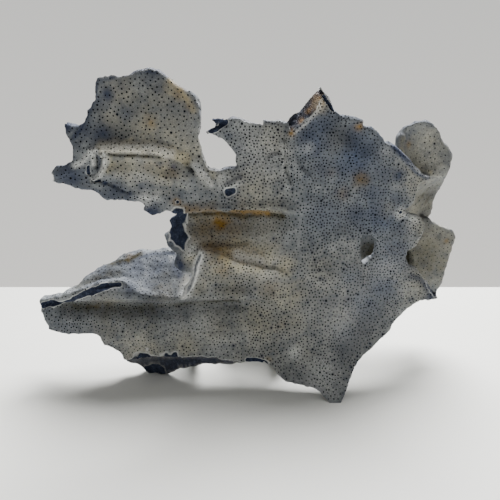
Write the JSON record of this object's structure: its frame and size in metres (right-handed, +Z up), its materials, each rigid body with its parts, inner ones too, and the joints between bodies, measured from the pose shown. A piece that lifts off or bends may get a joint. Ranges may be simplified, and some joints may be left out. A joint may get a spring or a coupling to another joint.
{
  "type": "blue coral specimen",
  "caption": "Broken blue coral colony of upright pored fronds that stands on flat cut feet, a display or natural history piece.",
  "frame": {"origin": "on the surface it stands on, under the middle of its bounding box", "axes": "+X along the main frond to the right as seen from its front, +Y from the front face towards the rear fronds, +Z up"},
  "size_m": [0.219, 0.0678, 0.1545],
  "materials": {
    "coral_skin": "matt weathered coral, blue-grey with fine dark pores and deep blue broken edges",
    "coral_cream": "matt weathered coral, cream over blue-grey with fine dark pores"
  },
  "bodies": {
    "root": {"trunk_frond": "coral_skin", "peak_lobe": "coral_skin", "wing_lobe": "coral_skin", "fan_frond": "coral_cream", "lower_blade": "coral_skin", "rear_blade": "coral_skin", "ridge_flange": "coral_cream", "pocket_frond": "coral_cream", "ear_lobe": "coral_cream", "side_frond": "coral_cream", "cross_fin": "coral_skin", "rear_prop": "coral_skin"}
  },
  "joints": []
}
